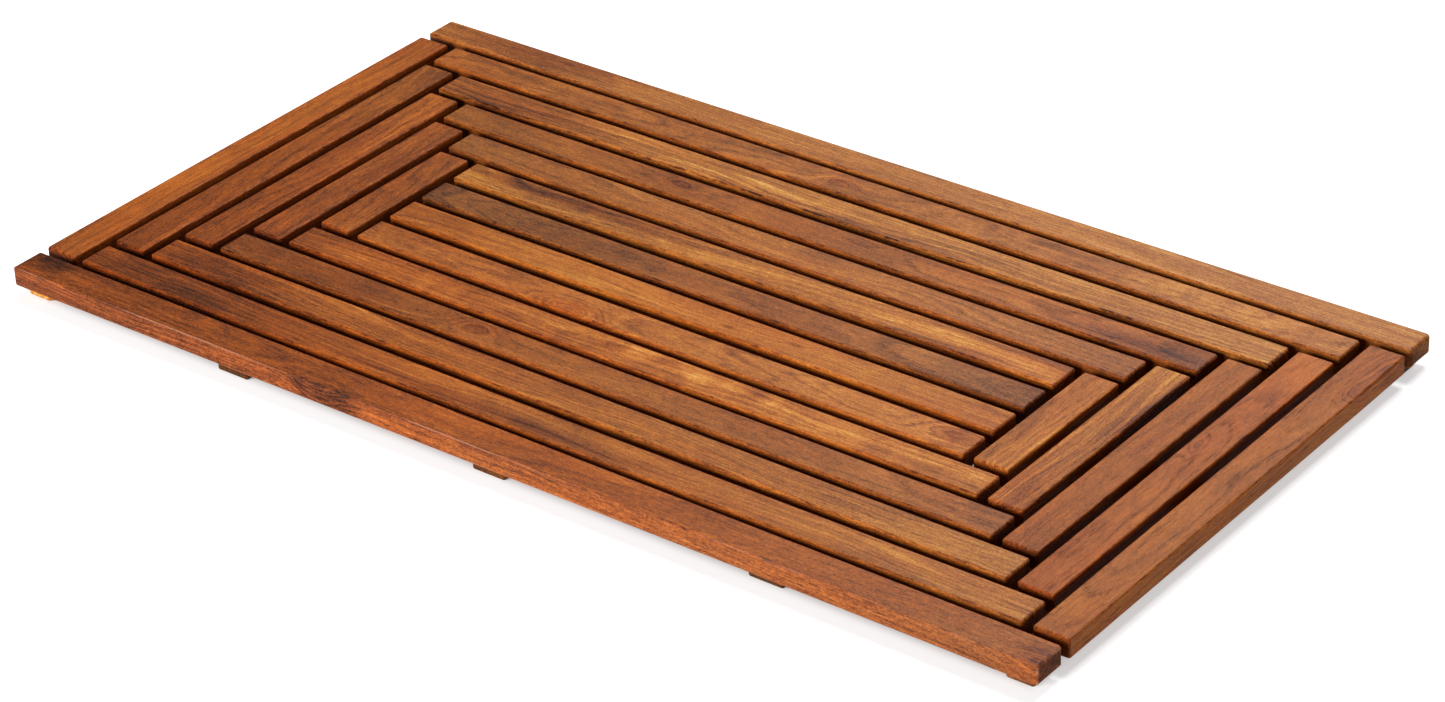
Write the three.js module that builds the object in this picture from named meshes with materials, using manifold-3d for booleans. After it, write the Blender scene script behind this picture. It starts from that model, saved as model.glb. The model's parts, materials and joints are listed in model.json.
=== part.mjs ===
// Slatted hardwood bath mat: two long rails and eight ring slats, four centre
// slats and ten short end slats, laid as nested rectangles with stepped butt
// corners, screwed from below to three cross battens, four corner battens and
// two side battens.
//
// Millimetres. +X runs along the long side, +Y to the back edge, +Z up.
// The origin is on the floor under the middle of the mat.

import * as THREE from 'three';
import { mergeVertices } from 'three/addons/utils/BufferGeometryUtils.js';
import Module from 'manifold-3d';

const wasm = await Module();
wasm.setup();

// ---------------------------------------------------------------- sizes
const LENGTH = 900;            // long side of the mat
const WIDTH = 495;             // short side of the mat
const SLAT_WIDTH = 28.2;       // every slat and rail
const SLAT_THICKNESS = 15.4;
const SLAT_EDGE = 2.4;         // radius of the eased edges
const SLAT_CORNER = 2.7;       // radius of the corners seen from above
const RING_PITCH = 35.7;       // slat width plus a 7.5 mm drainage gap
const CENTRE_PITCH = 36.6;     // slat width plus an 8.4 mm drainage gap
const RING_COUNT = 5;          // nested rectangles round the centre slats
const CENTRE_COUNT = 4;

const BATTEN_WIDTH = 29;
const BATTEN_THICKNESS = 9;
const BATTEN_EDGE = 2.0;
const BATTEN_CORNER = 2.3;
const CROSS_BATTEN_LENGTH = 481;
// centre of each cross batten along X, and how far its front end stands in
// from the front edge of the mat
const CROSS_BATTENS = [
  { name: 'cross_batten_left', x: -237.5, setback: 5.9 },
  { name: 'cross_batten_centre', x: -1.0, setback: 6.6 },
  { name: 'cross_batten_right', x: 233.0, setback: 8.0 },
];
// each corner batten runs inward at 45 degrees from a pointed end, whose two
// cuts are parallel to the edges of the mat
const CORNER_BATTENS = [
  { name: 'corner_batten_front_left', sx: -1, sy: -1, setback: 7.1 },
  { name: 'corner_batten_front_right', sx: 1, sy: -1, setback: 8.2 },
  { name: 'corner_batten_back_left', sx: -1, sy: 1, setback: 7.3 },
  { name: 'corner_batten_back_right', sx: 1, sy: 1, setback: 7.3 },
];
const CORNER_BATTEN_REACH = 183; // square inner end, along X from the mat's edge
const SIDE_BATTEN_SETBACK = 7.3;
const SIDE_BATTEN_INNER_X = 273;

const SCREW_HEAD_R = 3.6;      // countersunk head, 90 degree cone
const SCREW_RIM = 0.3;
const SCREW_SHANK_R = 1.8;
const SCREW_RECESS = 0.7;      // head below the underside of the batten
const SCREW_TIP_Z = 20.4;
const SCREW_TIP_LENGTH = 3.0;
const CLEARANCE = 0.3;
const SCREW_SIDES = 12;

const EDGE_STEPS = 2;          // facets in each eased edge
const CORNER_STEPS = 2;        // facets in each plan corner

// ---------------------------------------------------------------- finishes
const TEAK = [0xa5602f, 0x9c5528, 0x8f4a24, 0xb06a33, 0x7c4022, 0xa85c2a];
const teak = (i) => new THREE.MeshStandardMaterial({ color: TEAK[i % TEAK.length], roughness: 0.42, metalness: 0 });
const battenWood = () => new THREE.MeshStandardMaterial({ color: 0x8a5a34, roughness: 0.6, metalness: 0 });
const steel = () => new THREE.MeshStandardMaterial({ color: 0xb9bcc0, roughness: 0.35, metalness: 1 });

// ---------------------------------------------------------------- shapes
// A convex outline with every corner rounded.
function rounded(points, radius, steps) {
  const out = [];
  const n = points.length;
  for (let i = 0; i < n; i++) {
    const p = new THREE.Vector2(...points[i]);
    const a = new THREE.Vector2(...points[(i + n - 1) % n]).sub(p).normalize();
    const b = new THREE.Vector2(...points[(i + 1) % n]).sub(p).normalize();
    const half = Math.acos(THREE.MathUtils.clamp(a.dot(b), -1, 1)) / 2;
    const centre = p.clone().addScaledVector(a.clone().add(b).normalize(), radius / Math.sin(half));
    const from = p.clone().addScaledVector(a, radius / Math.tan(half)).sub(centre);
    const to = p.clone().addScaledVector(b, radius / Math.tan(half)).sub(centre);
    const sweep = Math.atan2(from.x * to.y - from.y * to.x, from.dot(to));
    for (let k = 0; k <= steps; k++) {
      out.push(from.clone().rotateAround(new THREE.Vector2(), (sweep * k) / steps).add(centre));
    }
  }
  return out;
}

// A board standing on z = 0 with eased edges above and below.
function board(outline, thickness, edge, corner) {
  const shape = new THREE.Shape(rounded(outline, corner, CORNER_STEPS));
  const geometry = new THREE.ExtrudeGeometry(shape, {
    depth: thickness - 2 * edge,
    steps: 1,
    bevelEnabled: true,
    bevelThickness: edge,
    bevelSize: edge,
    bevelOffset: -edge,
    bevelSegments: EDGE_STEPS,
  });
  geometry.translate(0, 0, edge);
  return geometry;
}

const rectangle = (x0, x1, y0, y1) => [[x0, y0], [x1, y0], [x1, y1], [x0, y1]];

// A turned solid about Z from a profile of [radius, z] pairs that starts and
// ends on the axis.
function turned(profile) {
  const geometry = new THREE.LatheGeometry(profile.map(([r, z]) => new THREE.Vector2(r, z)), SCREW_SIDES);
  geometry.rotateX(Math.PI / 2);
  return geometry;
}

// Closed, outward-facing, with shared vertices and no zero-area facets.
function cleaned(geometry) {
  const g = geometry.clone();
  g.deleteAttribute('normal');
  g.deleteAttribute('uv');
  const merged = mergeVertices(g, 1e-4);
  const index = Array.from(merged.index.array);
  const kept = [];
  for (let i = 0; i < index.length; i += 3) {
    const [a, b, c] = index.slice(i, i + 3);
    if (a !== b && b !== c && a !== c) kept.push(a, b, c);
  }
  const p = merged.attributes.position;
  const v = [0, 1, 2].map(() => new THREE.Vector3());
  let volume = 0;
  for (let i = 0; i < kept.length; i += 3) {
    v.forEach((q, k) => q.fromBufferAttribute(p, kept[i + k]));
    volume += v[0].dot(v[1].clone().cross(v[2])) / 6;
  }
  if (volume < 0) {
    for (let i = 0; i < kept.length; i += 3) [kept[i + 1], kept[i + 2]] = [kept[i + 2], kept[i + 1]];
  }
  merged.setIndex(kept);
  return merged;
}

function solid(geometry) {
  const g = cleaned(geometry);
  return new wasm.Manifold(new wasm.Mesh({
    numProp: 3,
    vertProperties: new Float32Array(g.attributes.position.array),
    triVerts: new Uint32Array(g.index.array),
  }));
}

function fromSolid(manifold) {
  const mesh = manifold.getMesh();
  const geometry = new THREE.BufferGeometry();
  const points = new Float32Array((mesh.vertProperties.length / mesh.numProp) * 3);
  for (let i = 0; i < points.length / 3; i++) {
    for (let k = 0; k < 3; k++) points[3 * i + k] = mesh.vertProperties[i * mesh.numProp + k];
  }
  geometry.setAttribute('position', new THREE.BufferAttribute(points, 3));
  geometry.setIndex(new THREE.BufferAttribute(new Uint32Array(mesh.triVerts), 1));
  geometry.computeVertexNormals();
  return geometry;
}

// ---------------------------------------------------------------- layout
const halfL = LENGTH / 2;
const halfW = WIDTH / 2;
const deckZ = BATTEN_THICKNESS;

// name, x0, x1, y0, y1 of every slat
const slats = [];
for (let j = 0; j < RING_COUNT; j++) {
  const y = halfW - RING_PITCH * j;
  const x = halfL - RING_PITCH * j;
  const tag = j === 0 ? 'rail' : `slat_${j}`;
  slats.push([`back_${tag}`, -x, x, y - SLAT_WIDTH, y]);
  slats.push([`front_${tag}`, -x, x, -y, -y + SLAT_WIDTH]);
  const half = halfW - RING_PITCH * (j + 1);
  slats.push([`left_slat_${j + 1}`, -x, -x + SLAT_WIDTH, -half, half]);
  slats.push([`right_slat_${j + 1}`, x - SLAT_WIDTH, x, -half, half]);
}
const centreX = halfL - RING_PITCH * RING_COUNT;
for (let i = 0; i < CENTRE_COUNT; i++) {
  const y = (CENTRE_COUNT - 1 - 2 * i) * CENTRE_PITCH / 2;
  slats.push([`centre_slat_${i + 1}`, -centreX, centreX, y - SLAT_WIDTH / 2, y + SLAT_WIDTH / 2]);
}
const slatMiddle = (j) => halfW - RING_PITCH * j - SLAT_WIDTH / 2; // |y| of ring slat j
const endMiddle = (j) => halfL - RING_PITCH * j - SLAT_WIDTH / 2;  // |x| of end slat j

// name, outline and screw positions of every batten
const battens = [];
for (const { name, x, setback } of CROSS_BATTENS) {
  const y0 = -halfW + setback;
  battens.push({
    name,
    outline: rectangle(x - BATTEN_WIDTH / 2, x + BATTEN_WIDTH / 2, y0, y0 + CROSS_BATTEN_LENGTH),
    screws: [[x, -slatMiddle(0)], [x, -CENTRE_PITCH / 2], [x, slatMiddle(0)]],
  });
}
for (const { name, sx, sy, setback } of CORNER_BATTENS) {
  const ax = halfL - setback;
  const ay = halfW - setback;
  const c = BATTEN_WIDTH / Math.SQRT2;      // length of each cut of the point
  const r = CORNER_BATTEN_REACH - setback;  // run of the centre line along X and Y
  const corner = [
    [ax, ay], [ax - c, ay],
    [ax - r - c / 2, ay - r + c / 2], [ax - r + c / 2, ay - r - c / 2],
    [ax, ay - c],
  ];
  const onLine = (y) => [sx * (ax - (ay - y)), sy * y];
  battens.push({
    name,
    outline: corner.map(([u, v]) => [sx * u, sy * v]),
    screws: [onLine(halfW - 18), onLine(slatMiddle(2)), onLine(slatMiddle(4))],
  });
}
for (const side of [-1, 1]) {
  const outer = side * (halfL - SIDE_BATTEN_SETBACK);
  const inner = side * SIDE_BATTEN_INNER_X;
  battens.push({
    name: side < 0 ? 'side_batten_left' : 'side_batten_right',
    outline: rectangle(Math.min(outer, inner), Math.max(outer, inner), -BATTEN_WIDTH / 2, BATTEN_WIDTH / 2),
    screws: [[side * (endMiddle(0) - 4), 0], [side * endMiddle(2), 0], [side * endMiddle(4), 0]],
  });
}

// ---------------------------------------------------------------- fasteners
// Profiles stand on the underside of the battens at z = 0.
const shoulder = SCREW_RECESS + SCREW_RIM;
const neck = shoulder + SCREW_HEAD_R - SCREW_SHANK_R;
const screwProfile = [
  [0, SCREW_RECESS], [SCREW_HEAD_R, SCREW_RECESS], [SCREW_HEAD_R, shoulder],
  [SCREW_SHANK_R, neck], [SCREW_SHANK_R, SCREW_TIP_Z - SCREW_TIP_LENGTH], [0, SCREW_TIP_Z],
];
const holeProfile = [
  [0, -2], [SCREW_HEAD_R + CLEARANCE, -2], [SCREW_HEAD_R + CLEARANCE, shoulder + 0.12],
  [SCREW_SHANK_R + CLEARANCE, neck + 0.12],
  [SCREW_SHANK_R + CLEARANCE, SCREW_TIP_Z - SCREW_TIP_LENGTH + 0.1], [0, SCREW_TIP_Z + 0.7],
];

const mat = new THREE.Group();
mat.name = 'slatted_bath_mat';
const deck = new THREE.Group();
const frame = new THREE.Group();
const fasteners = new THREE.Group();
mat.add(deck, frame, fasteners);

const allScrews = battens.flatMap((b) => b.screws);
const bored = (geometry, spots, z) => {
  let body = solid(geometry);
  for (const [x, y] of spots) {
    const hole = turned(holeProfile);
    hole.translate(x, y, z);
    body = body.subtract(solid(hole));
  }
  return fromSolid(body);
};

function addMesh(group, name, geometry, material, z = 0) {
  const mesh = new THREE.Mesh(geometry, material);
  mesh.name = name;
  mesh.position.z = z;
  group.add(mesh);
}

slats.forEach(([name, x0, x1, y0, y1], i) => {
  const plain = board(rectangle(x0, x1, y0, y1), SLAT_THICKNESS, SLAT_EDGE, SLAT_CORNER);
  const spots = allScrews.filter(([x, y]) => x > x0 && x < x1 && y > y0 && y < y1);
  const geometry = spots.length ? bored(plain, spots, -deckZ) : cleaned(plain);
  addMesh(deck, name, geometry, teak(i), deckZ);
});

battens.forEach(({ name, outline, screws }) => {
  const plain = board(outline, BATTEN_THICKNESS, BATTEN_EDGE, BATTEN_CORNER);
  addMesh(frame, name, bored(plain, screws, 0), battenWood());
  screws.forEach(([x, y], k) => {
    const screw = cleaned(turned(screwProfile));
    screw.translate(x, y, 0);
    addMesh(fasteners, `screw_${name.replace('_batten', '')}_${k + 1}`, screw, steel());
  });
});

export default mat;
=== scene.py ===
import json
import math

import bpy
import numpy as np
from mathutils import Matrix, Vector


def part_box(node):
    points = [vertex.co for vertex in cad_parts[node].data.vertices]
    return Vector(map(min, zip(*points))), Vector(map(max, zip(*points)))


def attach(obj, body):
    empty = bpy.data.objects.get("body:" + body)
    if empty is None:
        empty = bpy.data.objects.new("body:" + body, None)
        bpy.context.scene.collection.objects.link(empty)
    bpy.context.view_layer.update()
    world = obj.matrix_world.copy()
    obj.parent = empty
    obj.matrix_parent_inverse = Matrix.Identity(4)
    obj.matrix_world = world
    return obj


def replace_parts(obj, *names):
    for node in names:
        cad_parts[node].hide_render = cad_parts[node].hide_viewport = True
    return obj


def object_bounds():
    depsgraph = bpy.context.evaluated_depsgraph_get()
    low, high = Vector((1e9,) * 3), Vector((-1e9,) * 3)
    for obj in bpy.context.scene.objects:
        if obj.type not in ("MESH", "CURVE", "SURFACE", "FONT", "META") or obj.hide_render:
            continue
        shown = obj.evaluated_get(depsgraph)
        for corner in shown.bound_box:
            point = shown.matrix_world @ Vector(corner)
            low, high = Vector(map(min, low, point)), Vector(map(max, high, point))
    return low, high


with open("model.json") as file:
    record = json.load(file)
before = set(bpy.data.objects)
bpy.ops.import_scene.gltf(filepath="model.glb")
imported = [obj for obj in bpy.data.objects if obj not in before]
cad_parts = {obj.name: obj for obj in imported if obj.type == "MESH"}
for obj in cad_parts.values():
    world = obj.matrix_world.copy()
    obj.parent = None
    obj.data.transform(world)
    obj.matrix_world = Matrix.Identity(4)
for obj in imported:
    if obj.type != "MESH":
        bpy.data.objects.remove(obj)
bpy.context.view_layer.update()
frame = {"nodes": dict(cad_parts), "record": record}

# ------------------------------------------------------------------ settings
SLAT_END = 2.4         # mm, rounding of a slat's cut ends and corners
RAIL_END = 3.2
SLAT_EDGE = 1.5        # mm, radius of the eased edges
BATTEN_EDGE = 2.0
SCREW_PITCH_TURNS = 13

# What each slat looks like. Lengths in mm, u along the slat from its middle
# (towards +X, or towards +Y on the short end slats), v across it.
#   tone   0 dark walnut .. 1 pale gold      grad   how much lighter the +u end is
#   bow    how much lighter both ends are
#   red    -1 golden .. +1 reddish           turn   how much redder the +u end is
#   blue   how cool the brown is              ring   spacing of the growth rings
#   pith   (v, w, dv/du, dw/du) of the heart of the tree beside the slat
#   line   strength of the ring lines        dark, gold   pigment streaks
#   flame  cross figure                      knots  (u, v, size, strength)
#   spots  (u, v, half length, half width, depth) of a dark (+) or pale (-) patch
# flank  painted light (+) or shade (-) on the outer side faces
# outer_cast_and_highlight  a paler, bluer cast on the outer faces, with a painted highlight along the outer arris
LOOK = {
    "back_rail": dict(tone=0.632, grad=0.050, bow=-0.011, red=-1.40, turn=-1.18, blue=1.36, ring=2.3, pith=(60, -45, .004, .010), line=.45, dark=.25, gold=.45, flame=.15,
                      spots=[(-330, 4, 90, 14, .16)]),
    "back_slat_1": dict(tone=0.521, grad=0.058, bow=0.061, red=-0.49, turn=-0.82, blue=1.20, ring=3.0, pith=(8, -52, .006, -.030), line=.55, dark=.22, gold=.55, flame=.65,
                        knots=[(-25, 1, 8, 3.2)], spots=[(300, -2, 90, 10, -.12)]),
    "back_slat_2": dict(tone=0.684, grad=0.113, bow=-0.082, red=-1.37, turn=-0.99, blue=1.21, ring=2.7, pith=(-36, -30, -.008, .008), line=.85, dark=.65, gold=.80, flame=.25, ragged=2.0,
                        spots=[(-300, 0, 100, 16, .20), (60, -9, 180, 4, .14)]),
    "back_slat_3": dict(tone=0.504, grad=0.048, bow=-0.004, red=-0.25, turn=0.63, blue=1.13, ring=3.2, pith=(4, -60, .010, .030), line=.45, dark=.40, gold=.20, flame=.20,
                        knots=[(-119, 2, 6, 2.6)], spots=[(305, -4, 55, 7, .22)]),
    "back_slat_4": dict(tone=0.575, grad=0.061, bow=-0.106, red=-0.62, turn=0.44, blue=1.24, ring=3.1, pith=(22, -40, -.010, .014), line=.45, dark=.25, gold=.30, flame=.20),
    "centre_slat_1": dict(tone=0.612, grad=0.050, bow=0.026, red=-0.74, turn=1.51, blue=1.12, ring=2.8, pith=(26, -32, .030, -.010), line=.70, dark=.75, gold=.75, flame=.25,
                          spots=[(-175, 6, 110, 7, .30), (185, -2, 100, 12, -.12)]),
    "centre_slat_2": dict(tone=0.588, grad=0.065, bow=-0.216, red=-0.93, turn=1.00, blue=1.25, ring=3.6, pith=(2, -48, .004, .045), line=.45, dark=.55, gold=.10, flame=.15,
                          spots=[(-60, 0, 150, 16, .14)]),
    "centre_slat_3": dict(tone=0.648, grad=0.069, bow=-0.087, red=0.00, turn=-0.14, blue=1.03, ring=3.4, pith=(34, -44, .006, -.006), line=.40, dark=.18, gold=.45, flame=.35,
                          spots=[(40, -3, 6, 2, .25), (95, 3, 4, 1.5, .25)]),
    "centre_slat_4": dict(tone=0.653, grad=0.115, bow=-0.027, red=-0.08, turn=-0.58, blue=1.23, ring=3.0, pith=(2, -50, -.006, .036), line=.80, dark=.30, gold=.40, flame=.20,
                          knots=[(-72, -9, 11, 5.6), (252, 4, 12, 3.0)]),
    "front_slat_4": dict(tone=0.605, grad=0.165, bow=-0.084, red=0.26, turn=-1.15, blue=1.10, ring=2.6, pith=(-30, -26, .012, .006), line=.60, dark=.50, gold=.60, flame=1.0,
                         spots=[(10, 2, 15, 8, -.19), (60, 3, 14, 9, -.18), (92, -3, 9, 8, -.10), (126, 2, 9, 10, -.15), (150, 4, 7, 8, -.10),
                                (-14, 4, 11, 6, .09), (36, 7, 9, 5, .08), (108, 8, 8, 5, .06)]),
    "front_slat_3": dict(tone=0.543, grad=0.084, bow=-0.090, red=-0.24, turn=-0.31, blue=1.16, ring=3.3, pith=(4, -50, .012, -.026), line=.45, dark=.40, gold=.20, flame=.25,
                         knots=[(-108, 4, 9, 3.0)], spots=[(-250, 0, 80, 14, .10)]),
    "front_slat_2": dict(tone=0.536, grad=0.152, bow=0.001, red=-0.09, turn=-2.20, blue=1.14, ring=2.6, pith=(40, -24, -.010, .004), line=.55, dark=.40, gold=.50, flame=.35,
                         spots=[(-330, 0, 60, 16, .14), (25, -12, 95, 1.6, -.20)]),
    "front_slat_1": dict(tone=0.562, grad=0.143, bow=-0.005, red=0.21, turn=-2.20, blue=1.10, ring=2.7, pith=(30, -30, .008, .010), line=.55, dark=.55, gold=.45, flame=.25,
                         spots=[(-350, 0, 110, 16, .20), (-60, -8, 160, 4, .18)]),
    "front_rail": dict(tone=0.500, grad=0.133, bow=-0.044, red=1.04, turn=-2.20, blue=1.12, ring=2.9, pith=(10, -34, .010, -.020), line=.38, dark=.20, gold=.15, flame=.20,
                       flank=-.02, outer_cast_and_highlight=1.0,
                       knots=[(-150, -14, 12, 4.0), (446, -9, 10, 2.6)], spots=[(-430, 8, 22, 9, .22), (-128, -13, 12, 4, .20), (-165, -14, 7, 3, .16), (440, 2, 8, 6, .12)]),
    "left_slat_1": dict(tone=0.590, grad=0.020, bow=-0.063, red=0.80, turn=0.07, blue=1.03, ring=3.2, pith=(26, -40, .006, .010), line=.40, dark=.22, gold=.35, flame=.40),
    "left_slat_2": dict(tone=0.460, grad=0.017, bow=-0.017, red=0.98, turn=-1.52, blue=0.98, ring=3.0, pith=(-18, -46, .006, .014), line=.45, dark=.35, gold=.25, flame=.20),
    "left_slat_3": dict(tone=0.478, grad=0.070, bow=-0.041, red=1.39, turn=-1.71, blue=1.06, ring=3.2, pith=(14, -44, -.010, -.012), line=.40, dark=.25, gold=.25, flame=.30),
    "left_slat_4": dict(tone=0.464, grad=0.072, bow=-0.040, red=0.99, turn=-0.47, blue=1.11, ring=3.0, pith=(-10, -50, .014, .018), line=.40, dark=.30, gold=.15, flame=.20),
    "left_slat_5": dict(tone=0.447, grad=-0.007, bow=0.086, red=0.62, turn=-0.08, blue=1.07, ring=3.2, pith=(16, -40, .020, -.020), line=.40, dark=.25, gold=.20, flame=.25),
    "right_slat_1": dict(tone=0.533, grad=-0.009, bow=-0.003, red=0.29, turn=-0.17, blue=0.66, calm=.62, ring=3.6, pith=(10, -58, .004, .030), line=.30, dark=.05, gold=.10, flame=.20, flank=.06,
                         knots=[(150, -9, 8, 2.6), (188, -11, 14, 3.2)]),
    "right_slat_2": dict(tone=0.516, grad=0.100, bow=0.078, red=0.79, turn=-0.17, blue=0.70, calm=.62, ring=3.4, pith=(4, -46, .006, -.040), line=.40, dark=.05, gold=.12, flame=.35,
                         knots=[(30, 6, 5, 2.2)]),
    "right_slat_3": dict(tone=0.541, grad=0.050, bow=-0.018, red=0.52, turn=-0.71, blue=0.69, calm=.80, ring=3.4, pith=(22, -48, .008, .014), line=.35, dark=.25, gold=.20, flame=.25),
    "right_slat_4": dict(tone=0.557, grad=0.041, bow=0.052, red=-0.23, turn=-1.48, blue=0.96, ring=2.9, pith=(-26, -36, .010, .010), line=.55, dark=.45, gold=.45, flame=.25,
                         spots=[(60, -12, 60, 3, .30)]),
    "right_slat_5": dict(tone=0.624, grad=-0.032, bow=0.023, red=-0.02, turn=-0.28, blue=0.94, calm=.85, ring=3.0, pith=(28, -40, .016, .010), line=.50, dark=.25, gold=.30, flame=.35),
}
BATTEN_LOOK = {
    "cross_batten_left": dict(tone=.30, red=.20), "cross_batten_centre": dict(tone=.40, red=.10), "cross_batten_right": dict(tone=.34, red=.30),
    "corner_batten_front_left": dict(tone=.88, red=-.30), "corner_batten_front_right": dict(tone=.42, red=.35),
    "corner_batten_back_left": dict(tone=.44, red=.10), "corner_batten_back_right": dict(tone=.38, red=.20),
    "side_batten_left": dict(tone=.46, red=.00), "side_batten_right": dict(tone=.40, red=.25),
}


def number_for(name, k=0):
    """A fixed number between 0 and 1 for a name."""
    h = 2166136261
    for c in f"{name}:{k}":
        h = ((h ^ ord(c)) * 16777619) & 0xFFFFFFFF
    return (h >> 8) / float(1 << 24)


def smooth_noise(name, n, waves):
    """n samples of a smooth curve between about -1 and 1, the same each run."""
    t = np.linspace(0, 1, n)
    out = np.zeros(n)
    for k in range(1, waves + 1):
        out += np.sin(2 * np.pi * (k * t * (.7 + .6 * number_for(name, 10 + k)) + number_for(name, 30 + k))) / k
    return out / 1.8


# ------------------------------------------------------------------ node graphs
class Graph:
    def __init__(self, material):
        material.use_nodes = True
        self.tree = material.node_tree
        self.tree.nodes.clear()

    def node(self, kind, **settings):
        n = self.tree.nodes.new(kind)
        for k, v in settings.items():
            setattr(n, k, v)
        return n

    def put(self, socket, value):
        if isinstance(value, bpy.types.NodeSocket):
            self.tree.links.new(value, socket)
        else:
            socket.default_value = value

    def math(self, op, a, b=None, c=None, clamp=False):
        n = self.node("ShaderNodeMath", operation=op, use_clamp=clamp)
        for s, v in zip(n.inputs, (a, b, c)):
            if v is not None:
                self.put(s, v)
        return n.outputs[0]

    def add(self, a, b):
        return self.math("ADD", a, b)

    def sub(self, a, b):
        return self.math("SUBTRACT", a, b)

    def mul(self, a, b):
        return self.math("MULTIPLY", a, b)

    def mad(self, a, b, c):
        return self.math("MULTIPLY_ADD", a, b, c)

    def split(self, v):
        n = self.node("ShaderNodeSeparateXYZ")
        self.put(n.inputs[0], v)
        return n.outputs[0], n.outputs[1], n.outputs[2]

    def join(self, x, y, z):
        n = self.node("ShaderNodeCombineXYZ")
        for s, v in zip(n.inputs, (x, y, z)):
            self.put(s, v)
        return n.outputs[0]

    def scaled(self, v, scale, shift=(0, 0, 0)):
        n = self.node("ShaderNodeVectorMath", operation="MULTIPLY_ADD")
        self.put(n.inputs[0], v)
        n.inputs[1].default_value = scale
        n.inputs[2].default_value = shift
        return n.outputs[0]

    def noise(self, v, detail=2.0, rough=.5, distort=0.0, colour=False):
        n = self.node("ShaderNodeTexNoise", noise_dimensions="3D")
        self.put(n.inputs["Vector"], v)
        n.inputs["Scale"].default_value = 1.0
        n.inputs["Detail"].default_value = detail
        n.inputs["Roughness"].default_value = rough
        n.inputs["Distortion"].default_value = distort
        return n.outputs[1 if colour else 0]

    def step(self, x, lo, hi, to_lo=0.0, to_hi=1.0):
        n = self.node("ShaderNodeMapRange", interpolation_type="SMOOTHSTEP")
        for s, v in zip(n.inputs, (x, lo, hi, to_lo, to_hi)):
            self.put(s, v)
        return n.outputs[0]

    def ramp(self, x, stops):
        n = self.node("ShaderNodeValToRGB")
        e = n.color_ramp.elements
        while len(e) > 1:
            e.remove(e[-1])
        for i, (at, colour) in enumerate(stops):
            el = e[0] if i == 0 else e.new(at)
            el.position = at
            el.color = (*colour, 1) if len(colour) == 3 else colour
        self.put(n.inputs[0], x)
        return n.outputs[0]

    def curve(self, x, stops):
        return self.ramp(x, [(at, (v, v, v)) for at, v in stops])

    def mix(self, f, a, b, blend="MIX"):
        n = self.node("ShaderNodeMix", data_type="RGBA", blend_type=blend)
        self.put(n.inputs[0], f)
        self.put(n.inputs[6], a)
        self.put(n.inputs[7], b)
        return n.outputs[2]

    def attribute(self, name):
        n = self.node("ShaderNodeAttribute", attribute_type="GEOMETRY", attribute_name=name)
        return n.outputs["Fac"]

    def gauss(self, u, v, u0, v0, su, sv):
        a = self.mul(self.sub(u, u0), 1 / su)
        b = self.mul(self.sub(v, v0), 1 / sv)
        return self.math("EXPONENT", self.mul(self.mad(a, a, self.mul(b, b)), -1.0))


def linear(r, g, b):
    f = lambda c: c / 12.92 if c <= .04045 else ((c + .055) / 1.055) ** 2.4
    return tuple(f(x / 255) for x in (r, g, b))


# Oiled teak from darkest pigment to pale gold, as it looks in full light. The studio
# light on the deck is 1.6 times what makes white paper white, so albedo is that much lower.
DECK_LIGHT = 1.6


def albedo(r, g, b):
    return tuple(c / DECK_LIGHT for c in linear(r, g, b))


TEAK_STOPS = [
    (0.00, albedo(30, 15, 9)),
    (0.14, albedo(60, 30, 16)),
    (0.30, albedo(102, 53, 25)),
    (0.46, albedo(141, 75, 32)),
    (0.60, albedo(171, 94, 38)),
    (0.75, albedo(198, 117, 48)),
    (0.88, albedo(217, 145, 70)),
    (1.00, albedo(233, 173, 104)),
]


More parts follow.
